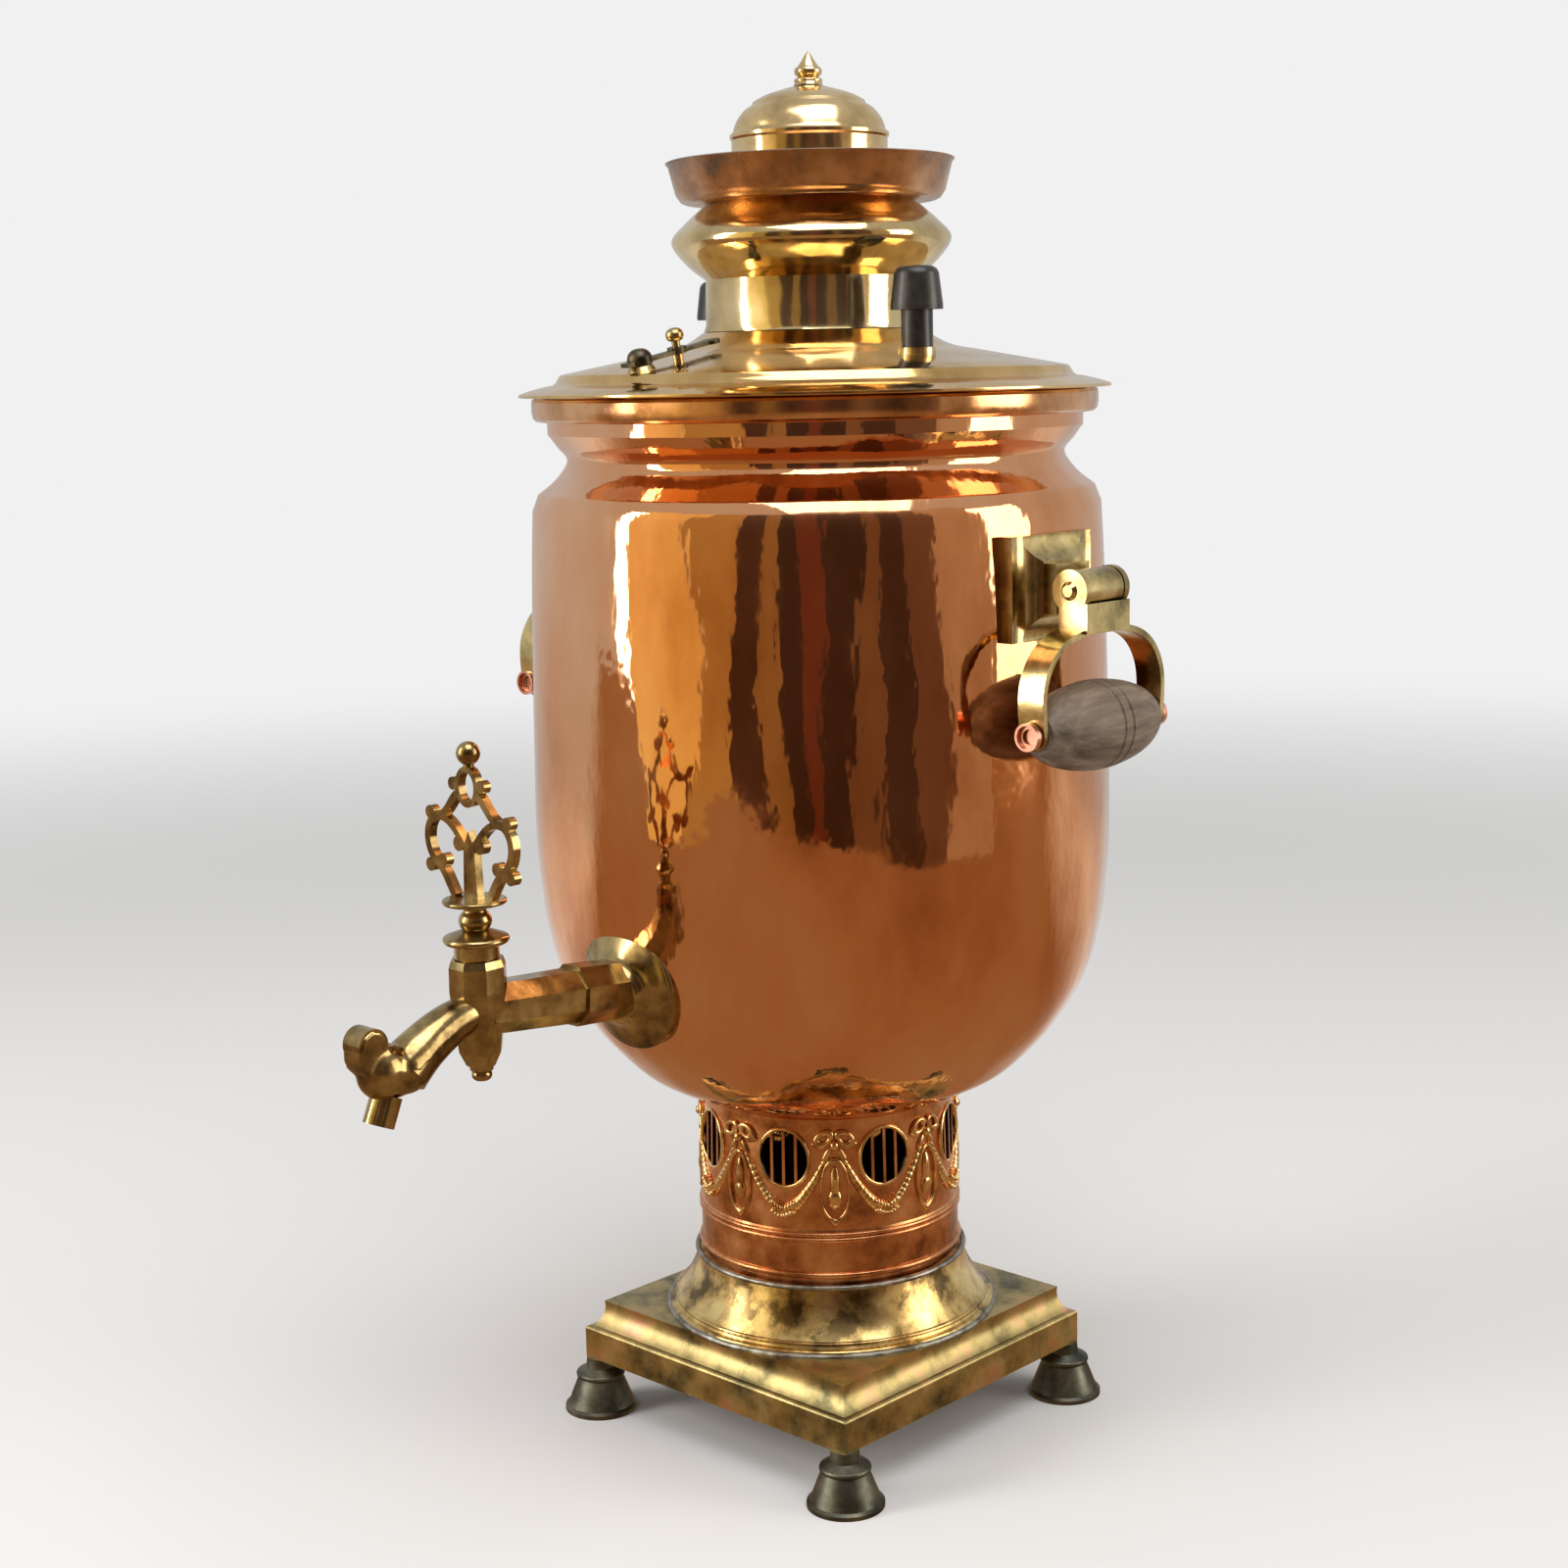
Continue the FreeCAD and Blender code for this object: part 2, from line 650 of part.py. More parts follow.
def rivet_cups():
    """Two cupped copper washers that close the rod's ends against the strap."""
    cups = []
    for side in (-1, 1):
        steps = [(4.8, 0), (4.8, 2.4), (3.9, 2.4), (3.6, 0.9), (rod_radius, 0.9)]
        cup = turned((rod_radius, 0), steps)
        cup.rotate(vec(0, 0, 0), vec(1, 0, 0), -90 * side)
        cup.translate(vec(grip_distance, side * 35.3, grip_height))
        cups.append(cup)
    return cups


def wooden_grip():
    r = grip_radius
    half = grip_half_length
    lower = [(r - 5.2, -25.6), (r - 1.6, -15.0), (r, -3.2)]
    upper = [(r - 1.6, 15.0), (r - 5.2, 25.6), (6.6, half)]
    steps = [(6.6, -half), ("curve", lower), ("arc", (r - 0.6, -2.4), (r, -1.6)), (r, 1.6),
             ("arc", (r - 0.6, 2.4), (r, 3.2)), ("curve", upper), (rod_radius + running_gap, half)]
    grip = turned((rod_radius + running_gap, -half), steps)
    grip.rotate(vec(0, 0, 0), vec(1, 0, 0), 90)
    grip.translate(vec(grip_distance, 0, grip_height))
    return grip


def handles():
    """The right handle is on +X; the left one is the same set turned half round."""
    pieces = {"handle_bracket": handle_bracket(), "handle_bail": handle_bail(), "handle_pin": hinge_pin(),
              "handle_rod": grip_rod(), "handle_rivets": Part.makeCompound(rivet_cups()),
              "handle_grip": wooden_grip()}
    for name, shape in pieces.items():
        save(name + "_right", shape)
        save(name + "_left", turn_about_z(shape, 180))


def cone_height(radius):
    """Height of the lid's upper surface at a radius on its wide cone."""
    return lid_cone_height + (lid_cone_radius - radius) * 8.0 / 42.0


def lid_plate():
    low = lid_rim_height
    wall = lid_wall
    throat = [(52.2, 413.6), (46.0, 416.4), (lid_neck_radius, lid_neck_height)]
    under = [(lid_neck_radius - 1.0, lid_neck_height - wall), (45.2, 415.1), (51.8, 412.3)]
    steps = [(lid_radius - 0.6, low), ("arc", (lid_radius, low + 0.6), (lid_radius - 0.6, low + 1.3)),
             ("curve", [(105.0, 400.2), (lid_step_radius, 401.6)]),
             ("arc", (96.2, 402.6), (lid_cone_radius + 0.6, 404.9)),
             ("arc", (lid_cone_radius + 0.2, 405.4), (lid_cone_radius - 0.6, lid_cone_height + 0.1)),
             (60.0, cone_height(60.0)), ("curve", throat), (lid_hole_radius, lid_neck_height),
             (lid_hole_radius, lid_neck_height - wall), under[0], ("curve", under[1:]),
             (60.0, cone_height(60.0) - wall), (lid_cone_radius - 1.2, lid_cone_height - wall),
             (lid_cone_radius - 0.6, 403.6), (lid_collar_radius, lid_under), (104.0, 399.0), (107.0, low)]
    save("lid_plate", turned((lid_radius - 0.6, low), steps))


def lid_collar():
    """Ring under the lid that drops inside the boiler's mouth."""
    r = lid_collar_radius
    low = lid_rim_height - lid_collar_depth
    steps = [(r, lid_under), (r - 1.3, lid_under + 1.0), (r - 1.3, low)]
    save("lid_collar", turned((r, low), steps))


def stand_on_cone(shape, circle, turn):
    """Tip a piece so that it stands square on the cone at a radius, then turn it to its place."""
    shape.rotate(vec(0, 0, 0), vec(0, 1, 0), cone_slope)
    shape.translate(vec(circle, 0, cone_height(circle)))
    return turn_about_z(shape, turn)


def lid_knobs():
    base = cone_height(knob_circle)
    head_low = 425.6
    for name, turn in (("right", knob_turn), ("left", knob_turn + 180)):
        steps = [(knob_stem_radius, base + 1.6), (knob_stem_radius, head_low), (knob_head_radius, head_low),
                 (knob_head_radius, head_low + 1.6), (knob_head_radius - 1.3, head_low + 12.2),
                 ("arc", (knob_head_radius - 2.2, head_low + 13.9), (knob_head_radius - 4.6, head_low + 14.9)),
                 (0, head_low + 15.2)]
        knob = turned((0, base + 1.6), steps)
        knob.translate(vec(knob_circle, 0, 0))
        save("lid_knob_" + name, turn_about_z(knob, turn))
        washer = turned((0, base - 3.0), [(6.6, base - 3.0), (6.6, base + 1.6), (0, base + 1.6)])
        washer.translate(vec(knob_circle, 0, 0))
        inside = turned((0, 380), [(lid_cone_radius, 380), (lid_cone_radius, lid_cone_height),
                                   (50.0, cone_height(50.0)), (0, cone_height(50.0))])
        save("knob_washer_" + name, turn_about_z(washer.cut(inside), turn))


def vent_seat():
    steps = [(5.0, 0.0), (3.9, 2.0), (0, 2.0)]
    seat = turned((0, -1.5), [(5.0, -1.5)] + steps)
    seat = stand_on_cone(seat, vent_circle, -90)
    save("vent_seat", seat.cut(lid_solid()))


def lid_solid():
    """Space under the lid's wide cone, to trim what stands on it."""
    return turned((0, 390), [(lid_cone_radius, 390), (lid_cone_radius, lid_cone_height),
                             (50.0, cone_height(50.0)), (0, cone_height(50.0))])


def vent_post():
    """Brass post with a ball head that the vent lever turns on."""
    steps = [(1.9, -1.5), (1.9, 2.0), (1.5, 2.0), (1.5, 6.8), (2.4, 6.8), ("arc", (3.2, 8.9), (1.2, 11.1)), (0, 11.3)]
    post = stand_on_cone(turned((0, -1.5), steps), post_circle, -90)
    save("vent_post", post.cut(lid_solid()))


def vent_lever():
    """Flat lever from the thumb end, past the post, to the plug over the vent."""
    reach = (vent_circle - post_circle) / math.cos(math.radians(cone_slope))
    low = 2.3
    high = 3.7
    bar = box((-17.0, -1.9, low), (reach + 7.5, 1.9, high))
    thumb = cylinder(3.4, vec(-17.0, 0, low), vec(-17.0, 0, high))
    boss = cylinder(3.4, vec(0, 0, low), vec(0, 0, high + 0.8))
    pad = cylinder(4.6, vec(reach, 0, low), vec(reach, 0, high))
    lever = fuse([bar, thumb, boss, pad])
    lever = lever.cut(cylinder(1.5 + running_gap, vec(0, 0, 0), vec(0, 0, 10)))
    save("vent_lever", stand_on_cone(lever, post_circle, -90))
    dome = turned((0, high), [(4.4, high), ("arc", (3.7, high + 2.3), (1.4, high + 3.7)), (0, high + 3.9)])
    dome.translate(vec(reach, 0, 0))
    save("vent_plug", stand_on_cone(dome, post_circle, -90))


def crown_skirt():
    wall = crown_wall
    bulge = crown_bulge
    inner = inset(bulge, wall)
    inner[-1] = (bulge[-1][0] - 1.6, gallery_floor)
    inner.reverse()
    steps = [(crown_radius + 0.9, crown_bottom), (crown_radius, crown_bottom + 2.4), bulge[0],
             ("curve", bulge[1:]), inner[0], ("curve", inner[1:]), (crown_radius - wall, crown_bottom)]
    save("crown_skirt", turned((crown_radius - wall, crown_bottom), steps))


def crown_gallery():
    low = gallery_floor
    hole = flue_radius + 0.8
    rim = gallery_rim_radius
    top = gallery_rim_height
    steps = [(44.6, low), ("arc", (47.8, low + 0.8), (49.6, low + 3.4)), (rim - 1.0, top - 1.6),
             ("arc", (rim, top - 0.6), (rim - 1.1, top)), (rim - 2.2, top - 1.0), (48.0, low + 4.0),
             ("arc", (46.6, low + 1.9), (44.4, low + gallery_sheet)), (gallery_collar, low + gallery_sheet),
             (gallery_collar, low + gallery_sheet + gallery_collar_rise),
             (hole, low + gallery_sheet + gallery_collar_rise)]
    save("crown_gallery", turned((hole, low), steps))


def chimney_cap():
    low = gallery_floor + gallery_sheet + gallery_collar_rise + loose_gap
    wall = cap_wall
    inner = inset(cap_points, wall)
    inner[-1] = (0.0, cap_points[-1][1] - wall)
    inner.reverse()
    steps = [(cap_radius, low), cap_points[0], ("curve", cap_points[1:]), (0, cap_points[-1][1] + 0.4),
             inner[0], ("curve", inner[1:]), (cap_radius - wall, low)]
    save("chimney_cap", turned((cap_radius - wall, low), steps))


def cap_finial():
    low = cap_points[-1][1] + 0.4
    steps = [(5.4, low), (5.0, low + 1.0), ("arc", (5.2, low + 1.7), (4.4, low + 2.3)), (3.7, low + 3.0),
             ("arc", (5.1, low + 4.8), (4.0, low + 6.4)), ("curve", [(2.4, low + 8.6), (1.2, low + 10.6)]),
             (0, finial_top)]
    save("cap_finial", turned((0, low), steps))


feet()
base_plate()
base_moulding()
vent_neck()
body_shell()
body_rim()
fire_tube()
fire_grate()
tap_rosette()
tap_sleeve()
tap_tail()
tap_backnut()
tap_pipe()
tap_body()
tap_nozzle()
tap_plug()
tap_end_screw()
tap_stem()
tap_key()
handles()
lid_plate()
lid_collar()
lid_knobs()
vent_seat()
vent_post()
vent_lever()
crown_skirt()
crown_gallery()
chimney_cap()
cap_finial()
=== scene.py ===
import bpy
import math
from mathutils import Matrix, Vector


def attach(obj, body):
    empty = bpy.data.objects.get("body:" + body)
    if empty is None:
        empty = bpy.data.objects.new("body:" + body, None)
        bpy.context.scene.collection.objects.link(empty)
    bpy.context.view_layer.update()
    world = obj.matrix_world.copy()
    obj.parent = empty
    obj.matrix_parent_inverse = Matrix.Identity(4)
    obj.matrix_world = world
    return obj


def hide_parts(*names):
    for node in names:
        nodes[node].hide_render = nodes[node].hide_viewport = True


# Samovar: smooth turned metal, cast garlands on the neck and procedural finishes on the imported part.
# Profiles and ornament are in millimetres, profiles as radius and height. The stage is in metres.

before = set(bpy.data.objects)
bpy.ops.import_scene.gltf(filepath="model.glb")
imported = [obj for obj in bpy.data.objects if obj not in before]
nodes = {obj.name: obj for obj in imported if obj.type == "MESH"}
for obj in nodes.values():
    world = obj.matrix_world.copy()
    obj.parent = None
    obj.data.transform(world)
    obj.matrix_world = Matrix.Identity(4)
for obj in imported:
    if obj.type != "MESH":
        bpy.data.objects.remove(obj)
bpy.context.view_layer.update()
mm = 0.001
viewTurn = 42.671  # degrees from the tap towards +X, where the camera stands
print("stage: frame loaded")


# Tools for modelling

mergeGap = 0.000002  # metres, points nearer than this become one
shortestStep = 0.0005  # millimetres, shorter steps of a profile are left out


# Point at an angle about the axis, in metres from millimetres
def rowPoint(turn, radius, height):
    angle = math.radians(turn)
    return (radius * mm * math.cos(angle), radius * mm * math.sin(angle), height * mm)


# Point turned to the right of the camera's side of the object, in metres
def fromCamera(turn, distance, height):
    angle = math.radians(viewTurn + turn)
    return Vector((math.sin(angle) * distance, -math.cos(angle) * distance, height))


# Value of a smooth curve between b and c, with t from 0 to 1
def curveBetween(a, b, c, d, t):
    bend = 2 * a - 5 * b + 4 * c - d
    twist = 3 * b - a - 3 * c + d
    return 0.5 * (2 * b + (c - a) * t + bend * t * t + twist * t ** 3)


# Points along a smooth line through the given ones
def smoothLine(points, steps=5):
    ends = [points[0]] + list(points) + [points[-1]]
    line = []
    for a, b, c, d in zip(ends, ends[1:], ends[2:], ends[3:]):
        for step in range(steps):
            line.append(tuple(curveBetween(a[i], b[i], c[i], d[i], step / steps) for i in (0, 1)))
    return line + [points[-1]]


# The line moved to the left of the way it runs
def insetLine(points, distance):
    moved = []
    last = len(points) - 1
    for i, (across, up) in enumerate(points):
        before = points[max(i - 1, 0)]
        after = points[min(i + 1, last)]
        stepAcross = after[0] - before[0]
        stepUp = after[1] - before[1]
        run = math.hypot(stepAcross, stepUp)
        moved.append((across - stepUp / run * distance, up + stepAcross / run * distance))
    return moved


def deselect():
    bpy.ops.object.select_all(action="DESELECT")


def applyPlace():
    bpy.ops.object.transform_apply(location=True, rotation=True, scale=True)


# Places, shades, names, paints and attaches a new piece
def finishPiece(obj, name, body, finish, sharp=35.0):
    deselect()
    obj.select_set(True)
    bpy.context.view_layer.objects.active = obj
    applyPlace()
    bpy.ops.object.shade_smooth_by_angle(angle=math.radians(sharp))
    obj.name = name
    obj.data.materials.clear()
    obj.data.materials.append(finish)
    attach(obj, body)
    return obj


# Closed profile spun about the upright axis
def lathe(profile, turns=144):
    deselect()
    bpy.ops.mesh.primitive_plane_add(size=0.002)
    obj = bpy.context.object
    bpy.ops.object.mode_set(mode="EDIT")
    bpy.ops.mesh.select_all(action="SELECT")
    bpy.ops.mesh.merge(type="CENTER")  # one point is left, and the profile is drawn with it
    here = profile[0]
    bpy.ops.transform.translate(value=(here[0] * mm, 0, here[1] * mm))
    for there in profile[1:] + profile[:1]:
        if math.hypot(there[0] - here[0], there[1] - here[1]) > shortestStep:
            move = ((there[0] - here[0]) * mm, 0, (there[1] - here[1]) * mm)
            bpy.ops.mesh.extrude_region_move(TRANSFORM_OT_translate={"value": move})
            here = there
    bpy.ops.mesh.select_all(action="SELECT")
    bpy.ops.mesh.remove_doubles(threshold=mergeGap)
    bpy.ops.mesh.spin(steps=turns, angle=2 * math.pi, center=(0, 0, 0), axis=(0, 0, 1))
    bpy.ops.mesh.select_all(action="SELECT")
    bpy.ops.mesh.remove_doubles(threshold=mergeGap)
    bpy.ops.mesh.normals_make_consistent(inside=False)
    bpy.ops.object.mode_set(mode="OBJECT")
    return obj


# Rounded lump on the neck, with its half sizes outwards, sideways and up
def blob(turn, radius, height, half, tilt=0.0):
    deselect()
    bpy.ops.mesh.primitive_uv_sphere_add(segments=14, ring_count=8, radius=1.0,
                                         location=rowPoint(turn, radius, height),
                                         rotation=(math.radians(tilt), 0, math.radians(turn)),
                                         scale=(half[0] * mm, half[1] * mm, half[2] * mm))
    return bpy.context.object


# Oval wire hoop lying against the neck, with its half sizes sideways and up
def hoop(turn, radius, height, half, thick, tilt=0.0):
    halfSide, halfUp = half
    deselect()
    bpy.ops.mesh.primitive_torus_add(major_segments=40, minor_segments=10, major_radius=1.0,
                                     minor_radius=thick / halfUp, location=(0, 0, 0))
    obj = bpy.context.object
    obj.scale = (halfUp * mm, halfSide * mm, halfUp * mm)
    applyPlace()
    obj.rotation_euler = (0, math.pi / 2, 0)
    applyPlace()
    obj.rotation_euler = (math.radians(tilt), 0, math.radians(turn))
    obj.location = rowPoint(turn, radius, height)
    return obj


# Finely divided rounded lump at a point
def lump(place, half):
    deselect()
    bpy.ops.mesh.primitive_uv_sphere_add(segments=32, ring_count=18, radius=1.0,
                                         location=[v * mm for v in place], scale=[v * mm for v in half])
    return bpy.context.object


def gather(parts):
    deselect()
    for part in parts:
        part.select_set(True)
    bpy.context.view_layer.objects.active = parts[0]
    bpy.ops.object.join()
    return bpy.context.object


# Finishes

# What a finish takes where its own look gives nothing else
usualLook = {
    "metallic": 1.0,
    "stretch": (1.0, 1.0, 1.0),
    "patchScale": 22.0,
    "polishScale": 60.0,
    "dentScale": 14.0,
    "dentHeight": 0.0006,
    "grainScale": 420.0,
    "grainHeight": 0.00002,
    # Near black for painted shade and soot inside, and the width in metres over which it blends in
    "shadeAndSootColour": (0.012, 0.009, 0.007, 1.0),
    "shadeAndSootEdge": 0.0003,
}


# New shader node with its settings and the values of its sockets
def addNode(tree, kind, values=None, **settings):
    node = tree.nodes.new("ShaderNode" + kind)
    for setting, value in settings.items():
        setattr(node, setting, value)
    for socket, value in (values or {}).items():
        node.inputs[socket].default_value = value
    return node


def link(tree, start, end):
    tree.links.new(start, end)


# Patchy colour, uneven polish, soft dents and fine grain, and where a look asks for it a near black inside
# for painted shade and soot
def makeFinish(name, ownLook):
    look = {**usualLook, **ownLook}
    material = bpy.data.materials.new(name)
    material.use_nodes = True
    tree = material.node_tree
    shader = tree.nodes["Principled BSDF"]
    shader.inputs["Metallic"].default_value = look["metallic"]
    coords = addNode(tree, "TexCoord")
    mapping = addNode(tree, "Mapping", {"Scale": look["stretch"]})
    link(tree, coords.outputs["Object"], mapping.inputs["Vector"])

    def noise(scale, detail, rough):
        node = addNode(tree, "TexNoise", {"Scale": scale, "Detail": detail, "Roughness": rough})
        link(tree, mapping.outputs["Vector"], node.inputs["Vector"])
        return node

    patches = noise(look["patchScale"], 6.0, 0.62)
    ramp = addNode(tree, "ValToRGB")
    while len(ramp.color_ramp.elements) < len(look["tones"]):
        ramp.color_ramp.elements.new(0.5)
    for element, (at, colour) in zip(ramp.color_ramp.elements, look["tones"]):
        element.position = at
        element.color = colour + (1.0,)
    link(tree, patches.outputs["Fac"], ramp.inputs["Fac"])
    link(tree, ramp.outputs["Color"], shader.inputs["Base Color"])

    # Painted shade and soot: nearer to the axis than this radius the colour turns near black
    if "shadeAndSootInside" in look:  # black nearer to the axis than this radius
        flat = addNode(tree, "VectorMath", {1: (1.0, 1.0, 0.0)}, operation="MULTIPLY")
        link(tree, coords.outputs["Object"], flat.inputs[0])
        away = addNode(tree, "VectorMath", operation="LENGTH")
        link(tree, flat.outputs["Vector"], away.inputs[0])
        outer = addNode(tree, "MapRange", {"From Min": look["shadeAndSootInside"],
                                           "From Max": look["shadeAndSootInside"] + look["shadeAndSootEdge"]})
        link(tree, away.outputs["Value"], outer.inputs["Value"])
        shadeAndSoot = addNode(tree, "Mix", {6: look["shadeAndSootColour"]}, data_type="RGBA")
        link(tree, outer.outputs["Result"], shadeAndSoot.inputs[0])
        link(tree, ramp.outputs["Color"], shadeAndSoot.inputs[7])
        link(tree, shadeAndSoot.outputs[2], shader.inputs["Base Color"])

    polish = noise(look["polishScale"], 4.0, 0.6)
    span = addNode(tree, "MapRange", {"From Min": 0.3, "From Max": 0.7,
                                      "To Min": look["rough"][0], "To Max": look["rough"][1]})
    link(tree, polish.outputs["Fac"], span.inputs["Value"])
    link(tree, span.outputs["Result"], shader.inputs["Roughness"])

    dents = noise(look["dentScale"], 1.0, 0.4)
    soft = addNode(tree, "Bump", {"Strength": 1.0, "Distance": look["dentHeight"]})
    link(tree, dents.outputs["Fac"], soft.inputs["Height"])
    grain = noise(look["grainScale"], 3.0, 0.6)
    fine = addNode(tree, "Bump", {"Strength": 1.0, "Distance": look["grainHeight"]})
    link(tree, grain.outputs["Fac"], fine.inputs["Height"])
    link(tree, soft.outputs["Normal"], fine.inputs["Normal"])
    link(tree, fine.outputs["Normal"], shader.inputs["Normal"])
    return material


# Each tone is a place along the patches and its colour. Heights of dents and grain are in metres.
looks = {
    "bodyCopper": {
        "tones": [(0.30, (0.56, 0.20, 0.07)), (0.48, (0.84, 0.39, 0.18)), (0.70, (0.92, 0.54, 0.31))],
        "rough": (0.03, 0.10), "patchScale": 11.0, "dentScale": 18.0, "dentHeight": 0.0046,
        "stretch": (1.0, 1.0, 0.5), "grainScale": 64.0, "grainHeight": 0.00030,
    },
    "neckCopper": {
        "tones": [(0.30, (0.26, 0.10, 0.04)), (0.50, (0.66, 0.29, 0.12)), (0.70, (0.84, 0.46, 0.22))],
        # Inside this radius in metres the neck is coloured near black, painted shade and soot
        "rough": (0.16, 0.34), "patchScale": 60.0, "dentHeight": 0.0004, "shadeAndSootInside": 0.0486,
    },
    "ornament": {
        "tones": [(0.32, (0.40, 0.20, 0.07)), (0.52, (0.84, 0.54, 0.24)), (0.70, (0.95, 0.78, 0.44))],
        "rough": (0.12, 0.28), "patchScale": 110.0, "dentScale": 190.0, "dentHeight": 0.0005,
    },
    "rimCopper": {
        "tones": [(0.32, (0.42, 0.20, 0.08)), (0.55, (0.80, 0.42, 0.20)), (0.75, (0.90, 0.60, 0.34))],
        "rough": (0.10, 0.24), "patchScale": 40.0,
    },
    "baseBrass": {
        "tones": [(0.34, (0.11, 0.10, 0.05)), (0.47, (0.33, 0.26, 0.11)), (0.58, (0.50, 0.38, 0.16)),
                  (0.67, (0.62, 0.34, 0.20))],
        "rough": (0.22, 0.46), "patchScale": 52.0, "dentHeight": 0.0008,
    },
    "mouldingBrass": {
        "tones": [(0.40, (0.15, 0.10, 0.04)), (0.50, (0.56, 0.38, 0.14)), (0.66, (0.84, 0.64, 0.28))],
        "rough": (0.12, 0.34), "patchScale": 70.0, "dentScale": 60.0, "dentHeight": 0.0005,
    },
    "footBronze": {
        "tones": [(0.35, (0.05, 0.055, 0.045)), (0.55, (0.13, 0.13, 0.10)), (0.75, (0.24, 0.23, 0.17))],
        "rough": (0.32, 0.55), "patchScale": 80.0,
    },
    "tapBrass": {
        "tones": [(0.34, (0.12, 0.08, 0.035)), (0.50, (0.34, 0.24, 0.10)), (0.70, (0.60, 0.46, 0.21))],
        "rough": (0.10, 0.26), "patchScale": 75.0, "dentScale": 70.0, "dentHeight": 0.0004,
    },
    "handleBrass": {
        "tones": [(0.34, (0.26, 0.20, 0.09)), (0.52, (0.62, 0.48, 0.21)), (0.72, (0.82, 0.64, 0.34))],
        "rough": (0.10, 0.26), "patchScale": 70.0, "dentScale": 60.0, "dentHeight": 0.0004,
    },
    "rivetCopper": {
        "tones": [(0.35, (0.45, 0.20, 0.12)), (0.60, (0.80, 0.42, 0.30))],
        "rough": (0.20, 0.36), "patchScale": 90.0,
    },
    "gripWood": {
        "tones": [(0.30, (0.055, 0.036, 0.022)), (0.50, (0.13, 0.09, 0.06)),
                  (0.70, (0.22, 0.165, 0.115))],
        "metallic": 0.0, "rough": (0.45, 0.68), "patchScale": 26.0, "stretch": (8.0, 1.0, 8.0),
        "grainScale": 60.0, "grainHeight": 0.0003,
    },
    "lidBrass": {
        "tones": [(0.30, (0.50, 0.30, 0.10)), (0.52, (0.80, 0.53, 0.22)), (0.72, (0.90, 0.66, 0.34))],
        "rough": (0.06, 0.18), "patchScale": 22.0, "dentScale": 22.0, "dentHeight": 0.0014,
    },
    "knobBlack": {
        "tones": [(0.40, (0.008, 0.007, 0.006)), (0.65, (0.03, 0.026, 0.022))],
        "metallic": 0.0, "rough": (0.24, 0.42), "patchScale": 90.0, "dentScale": 90.0,
    },
    "plainBrass": {
        "tones": [(0.34, (0.40, 0.30, 0.12)), (0.60, (0.80, 0.62, 0.30))],
        "rough": (0.16, 0.30), "patchScale": 90.0,
    },
    "ventDark": {
        "tones": [(0.38, (0.04, 0.035, 0.025)), (0.66, (0.14, 0.115, 0.07))],
        "rough": (0.28, 0.46), "patchScale": 120.0,
    },
    "crownBrass": {
        "tones": [(0.30, (0.46, 0.33, 0.15)), (0.52, (0.80, 0.60, 0.30)), (0.72, (0.92, 0.74, 0.44))],
        "rough": (0.05, 0.16), "patchScale": 30.0, "dentScale": 40.0, "dentHeight": 0.0012,
    },
    "galleryCopper": {
        "tones": [(0.36, (0.16, 0.14, 0.12)), (0.50, (0.44, 0.23, 0.12)), (0.70, (0.70, 0.42, 0.24))],
        "rough": (0.14, 0.34), "patchScale": 46.0,
    },
    "capBrass": {
        "tones": [(0.30, (0.48, 0.34, 0.15)), (0.52, (0.82, 0.60, 0.30)), (0.72, (0.92, 0.72, 0.42))],
        "rough": (0.10, 0.24), "patchScale": 40.0, "dentScale": 40.0, "dentHeight": 0.0006,
    },
    "solder": {
        "tones": [(0.32, (0.13, 0.12, 0.09)), (0.55, (0.34, 0.33, 0.29)), (0.75, (0.52, 0.50, 0.45))],
        "rough": (0.32, 0.55), "patchScale": 120.0, "dentScale": 160.0, "dentHeight": 0.0009,
    },
    # Near black for painted shade and soot on the fire tube and grate seen through the windows
    "shadeAndSootySheet": {
        "tones": [(0.35, (0.010, 0.009, 0.008)), (0.65, (0.04, 0.036, 0.032))],
        "rough": (0.40, 0.60), "patchScale": 50.0,
    },
}
finishes = {name: makeFinish(name, look) for name, look in looks.items()}

painted = {
    "bodyCopper": ["body_shell"],
    "neckCopper": ["vent_neck"],
    "rimCopper": ["body_rim"],
    "baseBrass": ["base_plate"],
    "mouldingBrass": ["base_moulding"],
    "footBronze": ["foot_front", "foot_right", "foot_back", "foot_left"],
    "tapBrass": ["tap_rosette", "tap_sleeve", "tap_tail", "tap_pipe", "tap_body", "tap_nozzle", "tap_plug",
                 "tap_end_screw", "tap_stem", "tap_key"],
    "handleBrass": ["handle_bracket_right", "handle_bracket_left", "handle_bail_right", "handle_bail_left",
                    "handle_pin_right", "handle_pin_left"],
    "rivetCopper": ["handle_rivets_right", "handle_rivets_left", "handle_rod_right", "handle_rod_left"],
    "gripWood": ["handle_grip_right", "handle_grip_left"],
    "lidBrass": ["lid_plate", "lid_collar"],
    "knobBlack": ["lid_knob_right", "lid_knob_left"],
    "plainBrass": ["knob_washer_right", "knob_washer_left", "vent_seat", "vent_post", "tap_backnut"],
    "ventDark": ["vent_lever", "vent_plug"],
    "crownBrass": ["crown_skirt"],
    "galleryCopper": ["crown_gallery"],
    "capBrass": ["chimney_cap", "cap_finial"],
    # Tube and grate are coloured near black, painted shade and soot
    "shadeAndSootySheet": ["fire_tube", "fire_grate"],
}
for finishName, names in painted.items():
    for name in names:
        nodes[name].data.materials.clear()
        nodes[name].data.materials.append(finishes[finishName])
print("stage: finishes on", sum(len(names) for names in painted.values()), "of", len(nodes), "nodes")


# Boiler body and its rim

